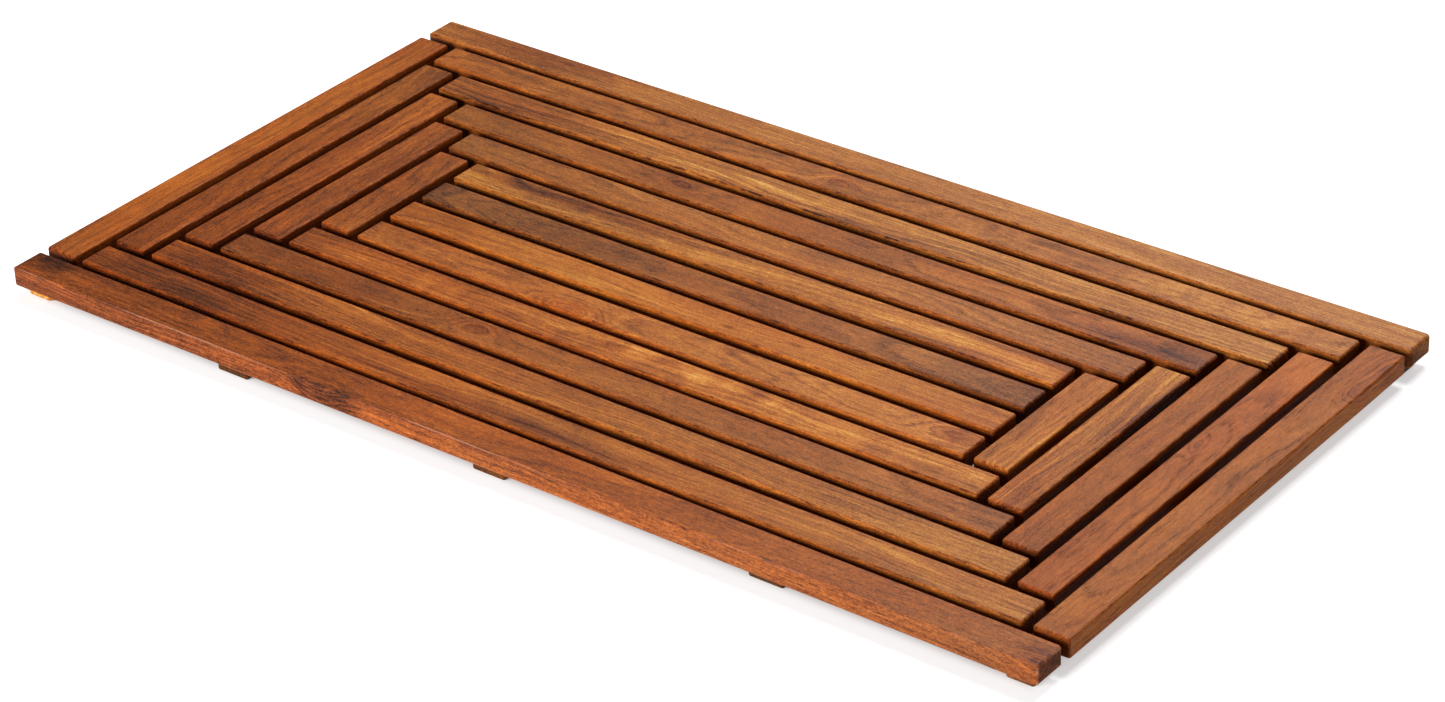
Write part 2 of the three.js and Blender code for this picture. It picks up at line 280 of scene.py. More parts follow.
def teak(name, centre, turn, length, look, oil_glow_amount=1.0, dull=0.0):
    """Oiled teak cut from one place in a tree: rings, knots, pigment streaks, fibres and pores all follow one solid figure, so faces, edges and end grain agree."""
    look = dict(dict(tone=.5, grad=0, bow=0, red=0, ring=3.0, pith=(20, -40, .005, .01), line=.45, dark=.3, gold=.25, flame=.2, knots=(), spots=(), flank=0, outer_cast_and_highlight=0, turn=0, blue=1.0, ragged=1.0, calm=1.0), **look)
    m = bpy.data.materials.new("teak_" + name)
    g = Graph(m)
    out = g.node("ShaderNodeOutputMaterial")
    bsdf = g.node("ShaderNodeBsdfPrincipled")
    g.tree.links.new(bsdf.outputs[0], out.inputs[0])

    # millimetres in the board's own axes
    where = g.node("ShaderNodeTexCoord").outputs["Object"]
    place = g.node("ShaderNodeMapping", vector_type="POINT")
    g.put(place.inputs[0], where)
    c, s = math.cos(-turn), math.sin(-turn)
    x, y, z = (q * 1000 for q in centre)
    place.inputs["Location"].default_value = (-(c * x - s * y), -(s * x + c * y), -z)
    place.inputs["Rotation"].default_value = (0, 0, -turn)
    place.inputs["Scale"].default_value = (1000, 1000, 1000)
    p = place.outputs[0]
    u, v, w = g.split(p)
    seed = (number_for(name, 1) * 900 + 50, number_for(name, 2) * 900 + 50, number_for(name, 3) * 900 + 50)

    # the grain wanders
    slow = g.noise(g.scaled(p, (.0042, .020, .020), seed), detail=2.0, rough=.45, colour=True)
    sx, sy, sz = g.split(slow)
    quick = g.noise(g.scaled(p, (.018, .075, .075), seed[::-1]), detail=2.0, rough=.5, colour=True)
    qx, qy, qz = g.split(quick)
    v1 = g.mad(sx, 22.0, g.mad(qx, 3.4, v))
    w1 = g.mad(sy, 26.0, g.mad(qy, 3.4, w))
    pv, pw, pdv, pdw = look["pith"]
    dv = g.sub(v1, g.mad(u, pdv, pv + 12.7))
    dw = g.sub(w1, g.mad(u, pdw, pw + 14.7))
    dist = g.math("SQRT", g.mad(dv, dv, g.mul(dw, dw)))
    phase = g.mul(dist, 1 / look["ring"])
    core = halo = None
    for ku, kv, size, strength in look["knots"]:
        swirl = g.gauss(g.mad(g.sub(qx, .5), 9.0, u), g.mad(g.sub(qy, .5), 4.0, v), ku, kv, size * 2.4, size * .95)
        phase = g.mad(swirl, strength, phase)
        eye = g.gauss(u, v, ku, kv, size * .52, size * .34)
        core = eye if core is None else g.math("MAXIMUM", core, eye)
        halo = swirl if halo is None else g.math("MAXIMUM", halo, swirl)
    phase = g.mad(g.noise(g.scaled(p, (.05, .4, .4), seed), detail=2.0), .50, phase)

    ring = g.math("FRACT", phase)
    count = g.math("FLOOR", phase)
    each = g.node("ShaderNodeTexWhiteNoise", noise_dimensions="1D")
    g.put(each.inputs["W"], g.add(count, seed[0]))
    own = each.outputs["Value"]
    line = g.curve(ring, [(0, .70), (.05, 1.0), (.14, .50), (.30, .16), (.60, .0), (.90, .12), (1.0, .70)])
    line = g.mul(line, g.mad(own, .9, .35))

    # pigment follows the rings along the board
    along = g.join(g.mul(u, .0052), g.mul(phase, .33), seed[1])
    streak = g.noise(along, detail=3.0, rough=.6, distort=.2)
    dark = g.step(streak, .60 - .13 * look["dark"], .80 - .12 * look["dark"])
    fine = g.noise(g.join(g.mul(u, .0085), g.mul(phase, 1.6), seed[2]), detail=4.0, rough=.68)
    gold = g.step(g.noise(g.join(g.mul(u, .0046), g.mul(phase, .42), seed[0] + 31.0), detail=2.0, rough=.5), .60 - .14 * look["gold"], .80 - .12 * look["gold"])
    patch = g.noise(g.scaled(p, (.0075, .034, .034), (seed[1], seed[2], seed[0])), detail=2.0, rough=.55)

    # fibres, pores and the cross figure
    strand = g.noise(g.scaled(p, (.020, .60, .60), (seed[2], seed[1], seed[0])), detail=3.0, rough=.62)
    fibre = g.noise(g.scaled(p, (.034, 1.25, 1.25), seed), detail=3.0, rough=.66)
    fleck = g.noise(g.scaled(p, (.15, .80, .80), (seed[1], seed[0], seed[2])), detail=3.0, rough=.72)
    grit = g.noise(g.scaled(p, (.50, 1.15, 1.15), (seed[0], seed[2], seed[1])), detail=2.0, rough=.75)
    thread = g.noise(g.scaled(p, (.055, 3.4, 3.4), seed[::-1]), detail=2.0, rough=.6)
    pore = g.step(g.noise(g.scaled(p, (.095, 1.50, 1.50), (seed[2], seed[0], seed[1])), detail=1.0), .58, .67)
    pore = g.mul(pore, g.mad(line, .6, .6))
    mottle = g.noise(g.scaled(p, (.045, .16, .16), (seed[0], seed[2], seed[1])), detail=3.0, rough=.6)
    flame = g.noise(g.join(g.mad(qz, .9, g.mul(u, .052)), g.mul(v, .030), g.add(g.mul(w, .02), seed[2])), detail=2.0, rough=.55)

    tone = look["tone"]
    t = g.mad(u, look["grad"] / length, tone)
    half = g.mul(u, 2 / length)
    t = g.mad(g.mul(half, half), look["bow"], t)
    t = g.mad(g.sub(patch, .5), .16, t)
    t = g.mad(g.sub(own, .5), .05 + .10 * look["line"], t)
    t = g.mad(line, -(.04 + .16 * look["line"]), t)
    t = g.mad(dark, -(.07 + .22 * look["dark"]), t)
    t = g.mad(gold, .05 + .16 * look["gold"], t)
    t = g.mad(g.sub(fine, .5), .26 + .34 * look["line"], t)
    t = g.mad(g.sub(strand, .5), .30 * look["calm"], t)
    t = g.mad(g.sub(fibre, .5), .28 * look["calm"], t)
    t = g.mad(g.sub(thread, .5), .16, t)
    t = g.mad(g.sub(fleck, .5), .44 * look["calm"], t)
    t = g.mad(g.sub(grit, .5), .78 * look["calm"], t)
    t = g.mad(g.sub(mottle, .5), .12, t)
    t = g.mad(pore, -.15, t)
    t = g.mad(g.sub(flame, .5), .03 + .34 * look["flame"], t)
    redden = g.mul(dark, .22)
    for su, sv, hu, hv, depth in look["spots"]:
        spot = g.gauss(g.mad(g.sub(qx, .5), 26.0, u), g.mad(g.sub(qy, .5), 7.0, v), su, sv, hu, hv)
        t = g.mad(spot, -depth, t)
        if depth > 0:
            redden = g.mad(spot, 2.6 * depth, redden)
    if core is not None:
        t = g.mad(core, -.11, t)
        redden = g.mad(core, .5, g.mad(halo, .42, redden))
        t = g.mad(g.mul(halo, line), -.10, t)
    redden = g.mad(u, .42 * look["turn"] / length, redden)
    endg = g.attribute("endg")
    edge = g.attribute("edge")
    side = g.attribute("side")
    # painted light (+) or shade (-) on the outer side faces, set where the lamps and floor light them too little or too
    # much
    if look["flank"]:
        t = g.mad(g.math("MULTIPLY", g.attribute("flank"), g.sub(1.0, side)), look["flank"], t)
    nick = g.step(g.noise(g.scaled(p, (.085, .42, .42), (seed[0], seed[1], seed[2])), detail=3.0, rough=.7), .47, .66)
    t = g.mad(g.mul(edge, nick), -.24 * look["ragged"], t)
    redden = g.mad(g.mul(edge, nick), .5, redden)
    t = g.mad(endg, -.05, t)
    colour = g.ramp(t, TEAK_STOPS)

    # reddish and golden heartwood
    hue = g.noise(g.scaled(p, (.006, .05, .05), (seed[1], seed[0], seed[2])), detail=2.0)
    warm = g.math("ADD", g.mad(g.sub(hue, .5), .9, redden), .5 + .42 * look["red"], clamp=True)
    colour = g.mix(warm, g.mix(1.0, colour, (.985, 1.22, 1.04, 1), "MULTIPLY"), g.mix(1.0, colour, (1.02, .87, .50, 1), "MULTIPLY"))
    colour = g.mix(1.0, colour, (1, 1, look["blue"], 1), "MULTIPLY")
    # the eased edges are tinted redder and more saturated: partly the extra oil that sanded edges take, partly a
    # painted glow of light bouncing at the edges
    edge_oil_glow = g.mul(edge, g.step(g.noise(g.scaled(p, (.03, .25, .25), seed), detail=3.0), .30, .62, .25, 1.0))
    colour = g.mix(g.mul(edge_oil_glow, .55 * oil_glow_amount), colour, g.mix(1.0, colour, (1.05, .86, .72, 1), "MULTIPLY"))
    # end grain drinks oil and goes grey-brown
    colour = g.mix(g.mul(endg, .55), colour, g.mix(1.0, colour, (.62, .60, .62, 1), "MULTIPLY"))
    # front rail: a paler, bluer cast on its outer faces, and a painted highlight, a pale broken line, along the outer
    # top arris
    if look["outer_cast_and_highlight"]:
        colour = g.mix(g.math("MULTIPLY", g.attribute("flank"), g.sub(look["outer_cast_and_highlight"], side), clamp=True), colour, g.mix(1.0, colour, (.97, 1.03, 1.85, 1), "MULTIPLY"))
        # painted highlight along the outer arris
        arris_highlight_line = g.step(g.noise(g.scaled(p, (.012, .2, .2), seed), detail=3.0), .40, .60, .15, 1.0)
        outer = g.math("MULTIPLY", g.step(edge, .55, 1.0), g.sub(1.0, side), clamp=True)
        colour = g.mix(g.mul(g.mul(outer, arris_highlight_line), .38), colour, albedo(216, 158, 128) + (1,))
    # the sides in the gaps are tinted redder: painted red of light bouncing between the boards
    colour = g.mix(g.mul(side, .85), colour, g.mix(1.0, colour, (1.06, .86, .70, 1), "MULTIPLY"))
    # and are darkened lower down: painted shade deep in the gaps
    colour = g.mix(g.mul(g.attribute("gap_shade"), .90), colour, g.mix(1.0, colour, (.36, .32, .28, 1), "MULTIPLY"))
    if dull:
        colour = g.mix(dull, colour, albedo(118, 80, 48) + (1,))
    g.put(bsdf.inputs["Base Color"], colour)

    rough = g.mad(g.sub(fibre, .5), .22, .44 + .12 * dull)
    rough = g.mad(line, .07, rough)
    rough = g.mad(pore, .16, rough)
    rough = g.mad(edge_oil_glow, -.07, rough)
    rough = g.mad(endg, .16, rough)
    g.put(bsdf.inputs["Roughness"], g.math("MINIMUM", g.math("MAXIMUM", rough, .28), .85))
    bsdf.inputs["IOR"].default_value = 1.48
    g.put(bsdf.inputs["Specular IOR Level"], g.mad(g.math("MAXIMUM", g.attribute("flank"), endg), -.10, .15))

    h = g.mul(line, -.35)
    h = g.mad(g.sub(fibre, .5), .75, h)
    h = g.mad(g.sub(thread, .5), .45, h)
    h = g.mad(pore, -.70, h)
    h = g.mad(g.sub(fine, .5), .40, h)
    bump = g.node("ShaderNodeBump")
    bump.inputs["Strength"].default_value = .55
    bump.inputs["Distance"].default_value = .00022
    g.put(bump.inputs["Height"], h)
    g.tree.links.new(bump.outputs[0], bsdf.inputs["Normal"])
    return m


# ------------------------------------------------------------------ boards
def section(hw, ht, r, steps, flat_w=4, flat_t=6):
    """Points round a rounded rectangle, with their normals and how far each is into an eased edge."""
    pts, nrm, edge = [], [], []
    corners = [(1, 1, 0), (-1, 1, 90), (-1, -1, 180), (1, -1, 270)]
    for i, (sx, sy, a0) in enumerate(corners):
        cx, cy = sx * (hw - r), sy * (ht - r)
        for k in range(steps + 1):
            a = math.radians(a0 + 90 * k / steps)
            pts.append((cx + r * math.cos(a), cy + r * math.sin(a)))
            nrm.append((math.cos(a), math.sin(a)))
            edge.append(math.sin(math.pi * k / steps))
        nx, ny, a1 = corners[(i + 1) % 4]
        a = math.radians(a0 + 90)
        end = (nx * (hw - r) + r * math.cos(a), ny * (ht - r) + r * math.sin(a))
        n = flat_w if i % 2 == 0 else flat_t
        here = pts[-1]
        for k in range(1, n):
            f = k / n
            pts.append((here[0] + (end[0] - here[0]) * f, here[1] + (end[1] - here[1]) * f))
            nrm.append((math.cos(a), math.sin(a)))
            edge.append(0.0)
    return np.array(pts), np.array(nrm), np.array(edge)


def finish_mesh(name, verts, faces, normals, attributes):
    mesh = bpy.data.meshes.new(name)
    mesh.from_pydata([tuple(p) for p in verts], [], faces)
    mesh.validate(clean_customdata=False)
    for key, values in attributes.items():
        a = mesh.attributes.new(key, "FLOAT", "POINT")
        a.data.foreach_set("value", np.asarray(values, np.float32))
    mesh.polygons.foreach_set("use_smooth", [True] * len(mesh.polygons))
    if normals is not None:
        mesh.normals_split_custom_set_from_vertices([tuple(n) for n in normals])
    mesh.update()
    ob = bpy.data.objects.new(name, mesh)
    bpy.context.scene.collection.objects.link(ob)
    return ob


def plank(name, lo, hi, edge_mm, turn, bend=1.0, gaps=(0, 0, 0), end_mm=None):
    """One board with eased edges and ends. It is a little crooked and its edges are sanded by hand.
    gaps says which of its -v side, +v side and ends face a narrow gap."""
    lo, hi = np.array(lo) * 1000, np.array(hi) * 1000
    centre = (lo + hi) / 2
    size = hi - lo
    L, W, T = (size[0], size[1], size[2]) if turn == 0 else (size[1], size[0], size[2])
    r, steps, ends = edge_mm, 6, 6
    re = end_mm or edge_mm
    us, tilt = [], []
    for k in range(ends + 1):
        a = math.radians(90 * (1 - k / ends))
        us.append(-(L / 2 - re) - re * math.sin(a))
        tilt.append(-a)
    n_mid = max(8, int((L - 2 * re) / 9.0))
    inner = np.linspace(-(L / 2 - re), L / 2 - re, n_mid + 1)[1:-1]
    us += list(inner)
    tilt += [0.0] * len(inner)
    for k in range(ends + 1):
        a = math.radians(90 * k / ends)
        us.append((L / 2 - re) + re * math.sin(a))
        tilt.append(a)
    us, tilt = np.array(us), np.array(tilt)
    n = len(us)
    x = us / (L / 2)
    # the crook sets the middle of the board to one side, and fades out at its ends
    crook = (number_for(name, 5) - .5) * 1.5 * min(1.0, (L / 600) ** 2) * bend
    side = crook * (1 - x ** 2) + .16 * bend * smooth_noise(name + "s", n, 5) * (1 - x ** 6)
    lift = -.10 * bend * np.abs(smooth_noise(name + "l", n, 4)) * (1 - x ** 8)
    slim = -.10 * bend * np.abs(smooth_noise(name + "w", n, 6))
    soft = 1 + .16 * bend * smooth_noise(name + "r", n, 7)
    verts, normals, edge, endg, flank, gap_shade, side_ = [], [], [], [], [], [], []
    for i in range(n):
        inset = re * (1 - math.cos(tilt[i]))
        ri = min(max(r * soft[i] - inset * r / re, .35), r * 1.2)
        p, m, e = section(W / 2 - inset + slim[i], T / 2 - inset, ri, steps)
        ca, sa = math.cos(tilt[i]), math.sin(tilt[i])
        k = len(p)
        top = (p[:, 1] > 0).astype(float)
        verts.append(np.column_stack([np.full(k, us[i]), p[:, 0] + side[i], p[:, 1] + lift[i] * top]))
        normals.append(np.column_stack([np.full(k, sa), m[:, 0] * ca, m[:, 1] * ca]))
        edge.append(np.maximum(e, math.sin(abs(tilt[i]) * 2) if abs(tilt[i]) > 0 else 0))
        endg.append(np.full(k, min(1.0, max(0.0, (abs(sa) - .45) / .5))))
        flank.append(np.clip((np.abs(m[:, 0]) - .35) / .5, 0, 1))
        # masks for the painted shade low in the gaps and the painted red of the gap sides
        under = np.clip((T / 2 - p[:, 1] - 2.2) / 2.6, 0, 1)
        faces_gap = np.where(m[:, 0] * (1 if not turn else -1) < 0, gaps[0], gaps[1]) * np.abs(m[:, 0]) ** 2
        faces_gap = np.maximum(faces_gap, gaps[2] * abs(sa))
        gap_shade.append(under * faces_gap)
        side_.append(faces_gap)
    k = len(p)
    faces = []
    for i in range(n - 1):
        for j in range(k):
            a, b = i * k + j, i * k + (j + 1) % k
            faces.append((a, b, b + k, a + k))
    faces.append(tuple(range(k - 1, -1, -1)))
    faces.append(tuple((n - 1) * k + j for j in range(k)))
    V, N = np.vstack(verts), np.vstack(normals)
    if turn:
        V = np.column_stack([-V[:, 1], V[:, 0], V[:, 2]])
        N = np.column_stack([-N[:, 1], N[:, 0], N[:, 2]])
    V = (V + centre) / 1000
    ob = finish_mesh(name, V, faces, N, {"edge": np.concatenate(edge), "endg": np.concatenate(endg), "flank": np.concatenate(flank), "gap_shade": np.concatenate(gap_shade), "side": np.concatenate(side_)})
    return ob, centre / 1000, L


def outline_board(name, corners, z0, z1, edge_mm, corner_mm):
    """A board of any convex outline, given in mm anticlockwise, with eased edges."""
    pts, nrm = [], []
    n = len(corners)
    for i in range(n):
        p = np.array(corners[i], float)
        a = np.array(corners[i - 1], float) - p
        b = np.array(corners[(i + 1) % n], float) - p
        a /= np.linalg.norm(a)
        b /= np.linalg.norm(b)
        half = math.acos(max(-1, min(1, a @ b))) / 2
        mid = p + (a + b) / np.linalg.norm(a + b) * corner_mm / math.sin(half)
        f = p + a * corner_mm / math.tan(half) - mid
        t = p + b * corner_mm / math.tan(half) - mid
        a0 = math.atan2(f[1], f[0])
        sweep = math.atan2(f[0] * t[1] - f[1] * t[0], f @ t)
        k = max(2, int(round(abs(sweep) / math.radians(15))))
        for j in range(k + 1):
            q = a0 + sweep * j / k
            nrm.append((math.cos(q), math.sin(q)))
            pts.append(mid + corner_mm * np.array(nrm[-1]))
        # points along the straight run
        nxt = np.array(corners[(i + 1) % n], float)
        nb = np.array(corners[(i + 2) % n], float) - nxt
        nb /= np.linalg.norm(nb)
        nhalf = math.acos(max(-1, min(1, (-b) @ nb))) / 2
        end = nxt - b * corner_mm / math.tan(nhalf)
        run = np.linalg.norm(end - pts[-1])
        m = int(run / 14)
        start = pts[-1].copy()
        for j in range(1, m):
            pts.append(start + (end - start) * j / m)
            nrm.append(nrm[-1] if j > 1 else (b[1], -b[0]))
    pts, nrm = np.array(pts), np.array(nrm)
    layers = []
    for k in range(6):
        a = math.radians(90 * (1 - k / 5))
        layers.append((z0 + edge_mm * (1 - math.sin(a)), edge_mm * (1 - math.cos(a)), -math.sin(a), math.cos(a)))
    for k in range(6):
        a = math.radians(90 * k / 5)
        layers.append((z1 - edge_mm * (1 - math.sin(a)), edge_mm * (1 - math.cos(a)), math.sin(a), math.cos(a)))
    V, N, E, S = [], [], [], []
    k = len(pts)
    for z, inset, nz, nr in layers:
        V.append(np.column_stack([pts - nrm * inset, np.full(k, z)]))
        N.append(np.column_stack([nrm * nr, np.full(k, nz)]))
        E.append(np.full(k, math.sin(2 * math.asin(min(1, abs(nz))))))
        S.append(np.full(k, nr))
    faces = []
    for i in range(len(layers) - 1):
        for j in range(k):
            a, b = i * k + j, i * k + (j + 1) % k
            faces.append((a, b, b + k, a + k))
    faces.append(tuple(range(k - 1, -1, -1)))
    faces.append(tuple((len(layers) - 1) * k + j for j in range(k)))
    return finish_mesh(name, np.vstack(V) / 1000, faces, np.vstack(N), {"edge": np.concatenate(E), "endg": np.zeros(k * len(layers)), "flank": np.concatenate(S), "gap_shade": np.zeros(k * len(layers)), "side": np.zeros(k * len(layers))})


# ------------------------------------------------------------------ screws
def ring_mesh(profile, sides):
    """Vertices and faces of a profile of (r, z) turned about Z. It starts and ends on the axis."""
    verts, faces = [(0, 0, profile[0][1])], []
    rows = []
    for r, z in profile[1:-1]:
        rows.append(len(verts))
        for k in range(sides):
            a = 2 * math.pi * k / sides
            verts.append((r * math.cos(a), r * math.sin(a), z))
    verts.append((0, 0, profile[-1][1]))
    last = len(verts) - 1
    for k in range(sides):
        faces.append((0, rows[0] + (k + 1) % sides, rows[0] + k))
        faces.append((last, rows[-1] + k, rows[-1] + (k + 1) % sides))
    for a, b in zip(rows, rows[1:]):
        for k in range(sides):
            n = (k + 1) % sides
            faces.append((a + k, a + n, b + n, b + k))
    return verts, faces


def screw_template():
    """A countersunk wood screw, head down at z = 0, in mm: a head with a cross recess, a waist and a coarse thread."""
    import bmesh
    sides = 28
    head, shank, length = 3.6, 1.45, 19.7
    # head and core; the crown of the head has a slight dish
    profile = [(0, .05), (.7, .04), (1.9, .02), (3.25, .0), (3.5, .05), (3.6, .18), (3.6, .34), (3.45, .52), (1.95, 2.05), (1.72, 2.4), (1.62, 2.9), (shank, 3.6),
               (shank, 16.6), (1.0, 18.2), (.35, 19.5), (0, length)]
    verts, faces = ring_mesh(profile, sides)
    # a helical thread as a closed strip of three-cornered section
    turns, per = 9, 20
    base = len(verts)
    n = turns * per + 1
    for i in range(n):
        f = i / (n - 1)
        a = 2 * math.pi * i / per
        z = 4.2 + 13.6 * f
        fade = min(1.0, f / .05, (1 - f) / .16)
        core = shank if z < 16.6 else shank + (1.0 - shank) * (z - 16.6) / 1.6
        core -= .12
        tip = core + .12 + .62 * max(fade, .02)
        for r, dz in ((core, -.42), (tip, -.04), (tip, .04), (core, .42)):
            verts.append((r * math.cos(a), r * math.sin(a), z + dz * max(fade, .3)))
    for i in range(n - 1):
        for j in range(4):
            a, b = base + i * 4 + j, base + i * 4 + (j + 1) % 4
            faces.append((a, b, b + 4, a + 4))
    faces.append(tuple(base + j for j in (3, 2, 1, 0)))
    faces.append(tuple(base + (n - 1) * 4 + j for j in (0, 1, 2, 3)))
    mesh = bpy.data.meshes.new("screw_template")
    mesh.from_pydata(verts, [], faces)
    bm = bmesh.new()
    bm.from_mesh(mesh)
    bmesh.ops.recalc_face_normals(bm, faces=bm.faces)
    bm.to_mesh(mesh)
    bm.free()
    body = bpy.data.objects.new("screw_template", mesh)
    # cross recess: two tapering bars cut into the head
    cverts, cfaces = [], []
    for turn in (0, math.pi / 2):
        b = len(cverts)
        for z, l, w in ((-.5, 2.15, .52), (0.0, 2.0, .47), (1.55, .75, .22)):
            for sx, sy in ((-1, -1), (1, -1), (1, 1), (-1, 1)):
                x, y = sx * l, sy * w
                cverts.append((x * math.cos(turn) - y * math.sin(turn), x * math.sin(turn) + y * math.cos(turn), z))
        for k in (0, 4):
            for j in range(4):
                cfaces.append((b + k + j, b + k + (j + 1) % 4, b + k + 4 + (j + 1) % 4, b + k + 4 + j))
        cfaces += [(b + 3, b + 2, b + 1, b), (b + 8, b + 9, b + 10, b + 11)]
    cm = bpy.data.meshes.new("recess")
    cm.from_pydata(cverts, [], cfaces)
    bm = bmesh.new()
    bm.from_mesh(cm)
    bmesh.ops.recalc_face_normals(bm, faces=bm.faces)
    bm.to_mesh(cm)
    bm.free()
    cutter = bpy.data.objects.new("recess", cm)
    for o in (body, cutter):
        bpy.context.scene.collection.objects.link(o)
    mod = body.modifiers.new("recess", "BOOLEAN")
    mod.operation, mod.object, mod.solver, mod.use_self = "DIFFERENCE", cutter, "EXACT", True
    dg = bpy.context.evaluated_depsgraph_get()
    made = bpy.data.meshes.new_from_object(body.evaluated_get(dg), depsgraph=dg)
    for o in (body, cutter):
        bpy.data.objects.remove(o)
    made.polygons.foreach_set("use_smooth", [True] * len(made.polygons))
    made.set_sharp_from_angle(angle=math.radians(32))
    return made


def steel():
    m = bpy.data.materials.new("zinc_steel")
    g = Graph(m)
    out = g.node("ShaderNodeOutputMaterial")
    bsdf = g.node("ShaderNodeBsdfPrincipled")
    g.tree.links.new(bsdf.outputs[0], out.inputs[0])
    p = g.scaled(g.node("ShaderNodeTexCoord").outputs["Object"], (1000, 1000, 1000))
    spots = g.noise(g.scaled(p, (.35, .35, .35)), detail=4.0, rough=.6)
    fine = g.noise(g.scaled(p, (2.6, 2.6, 2.6), (9, 4, 2)), detail=3.0)
    tarnish = g.step(spots, .48, .70)
    g.put(bsdf.inputs["Base Color"], g.mix(tarnish, g.mix(fine, (.58, .58, .57, 1), (.70, .70, .69, 1)), (.36, .31, .25, 1)))
    g.put(bsdf.inputs["Roughness"], g.mad(tarnish, .26, g.mad(fine, .20, .22)))
    bsdf.inputs["Metallic"].default_value = 1.0
    bump = g.node("ShaderNodeBump")
    bump.inputs["Strength"].default_value = .3
    bump.inputs["Distance"].default_value = .00005
    g.put(bump.inputs["Height"], g.add(fine, spots))
    g.tree.links.new(bump.outputs[0], bsdf.inputs["Normal"])
    return m


# ------------------------------------------------------------------ the mat
record = frame["record"]
nodes = frame["nodes"]
slat_names = [n for n in LOOK]
slat_boxes = {n: [list(q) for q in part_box(n)] for n in slat_names}
deck_bottom = min(b[0][2] for b in slat_boxes.values()) * 1000

for name in slat_names:
    lo, hi = slat_boxes[name]
    turn = math.pi / 2 if hi[1] - lo[1] > hi[0] - lo[0] else 0
    gaps = [1, 1, 1]
    if "rail" in name:
        gaps = [0, 1, 0] if name == "front_rail" else [1, 0, 0]
    elif name == "left_slat_1":
        gaps[0] = 0
    elif name == "right_slat_1":
        gaps[1] = 0
    ob, centre, length = plank(name + "_board", lo, hi, SLAT_EDGE, turn, gaps=gaps, end_mm=RAIL_END if "rail" in name else SLAT_END)
    ob.data.materials.append(teak(name, centre, turn, length, LOOK[name]))
    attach(ob, "root")
    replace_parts(ob, name)

# Battens, with every screw that holds a slat to them
steel_m = steel()
screw_mesh = screw_template()
SCREW_Z = 0.7  # recess of the heads, mm


def crossings(name, lo, hi):
    """Where a batten crosses the slats above it, as (x, y) in mm."""
    lo, hi = np.array(lo) * 1000, np.array(hi) * 1000
    spots = []
    kind = name.split("_")[0]
    for s, (a, b) in slat_boxes.items():
        a, b = np.array(a) * 1000, np.array(b) * 1000
        c = (a + b) / 2
        across = b[1] - a[1] > b[0] - a[0]
        if kind == "cross" and not across:
            x = (lo[0] + hi[0]) / 2
            if a[0] + 10 < x < b[0] - 10:
                spots.append((x, c[1]))
        elif kind == "side" and across and (c[0] > 0) == (lo[0] > 0):
            spots.append((min(max(c[0], lo[0] + 10.7), hi[0] - 10.7), 0.0))
        elif kind == "corner" and not across and "centre" not in s:
            # a long slat's outer end sits over the batten's middle line
            sx, sy = (1 if lo[0] > 0 else -1), (1 if lo[1] > 0 else -1)
            if (c[1] > 0) == (sy > 0):
                ax = hi[0] if sx > 0 else lo[0]
                ay = hi[1] if sy > 0 else lo[1]
                y = c[1]
                if "rail" in s:
                    y = sy * (abs(c[1]) - 3.9)
                spots.append((ax - sx * abs(ay - y), y))
    return spots


def cad_screws(batten):
    key = "screw_" + batten.replace("_batten", "") + "_"
    found = []
    for n in nodes:
        if n.startswith(key):
            lo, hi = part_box(n)
            found.append((n, (lo[0] + hi[0]) * 500, (lo[1] + hi[1]) * 500))
    return found


def bored(ob, spots):
    """Cuts the countersunk screw holes into a board's underside."""
    verts, faces = [], []
    for x, y in spots:
        v, f = ring_mesh([(0, -1.5), (3.9, -1.5), (3.85, SCREW_Z + .5), (2.0, SCREW_Z + 2.4), (2.0, 7.5), (0, 7.5)], 32)
        base = len(verts)
        verts += [((px + x) / 1000, (py + y) / 1000, pz / 1000) for px, py, pz in v]
        faces += [tuple(q + base for q in face) for face in f]
    mesh = bpy.data.meshes.new("bores")
    mesh.from_pydata(verts, [], faces)
    cutter = bpy.data.objects.new("bores", mesh)
    bpy.context.scene.collection.objects.link(cutter)
    mod = ob.modifiers.new("bores", "BOOLEAN")
    mod.operation, mod.object, mod.solver = "DIFFERENCE", cutter, "EXACT"
    dg = bpy.context.evaluated_depsgraph_get()
    made = bpy.data.meshes.new_from_object(ob.evaluated_get(dg), depsgraph=dg)
    ob.modifiers.clear()
    old = ob.data
    ob.data = made
    made.name = ob.name
    bpy.data.meshes.remove(old)
    bpy.data.objects.remove(cutter)


def batten_normals(ob, z0, z1, edge_mm):
    """Flat faces stay flat: sharp edges at the holes, and area-weighted normals elsewhere."""
    mesh = ob.data
    mesh.polygons.foreach_set("use_smooth", [True] * len(mesh.polygons))
    mesh.set_sharp_from_angle(angle=math.radians(35))
    mod = ob.modifiers.new("weighted", "WEIGHTED_NORMAL")
    mod.keep_sharp = True
    mod.weight = 100


